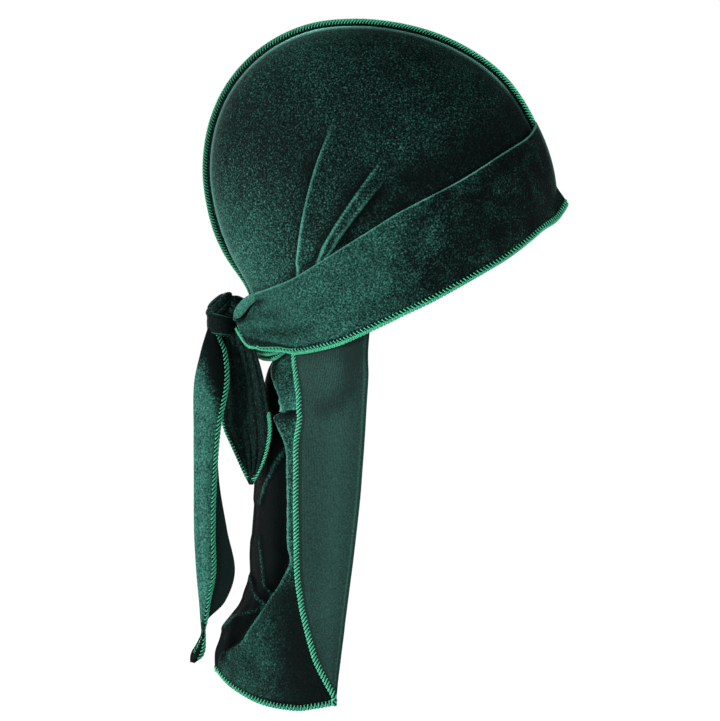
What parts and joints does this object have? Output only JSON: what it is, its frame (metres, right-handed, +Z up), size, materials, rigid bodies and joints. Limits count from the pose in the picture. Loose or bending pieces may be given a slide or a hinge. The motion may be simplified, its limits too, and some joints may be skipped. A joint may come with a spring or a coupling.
{
  "type": "durag",
  "caption": "Velvet durag tied at the back, with a wrapped band over the forehead, a serged centre seam, a knot with hanging strap tails and a long cape down the nape.",
  "frame": {"origin": "where the top of the head touches the inside of the crown, on the centre seam", "axes": "+Z up, -Y towards the wearer's face, +X towards the wearer's left"},
  "size_m": [0.1572, 0.2202, 0.3999],
  "materials": {
    "velvet": "crushed stretch velvet pile outside, smooth lighter knitted ground on the wrong side",
    "thread": "bright overlock thread, serged over the raw edges"
  },
  "bodies": {
    "root": {"crown_panel_right": "velvet", "crown_panel_left": "velvet", "crown_seam": "thread", "wrap_band": "velvet", "nape_strap_outer": "velvet", "nape_strap_inner": "velvet", "cape": "velvet", "tail_long": "velvet", "tail_short": "velvet", "knot_collar": "velvet", "knot_lobe_back": "velvet", "knot_lobe_front": "velvet"}
  },
  "joints": []
}
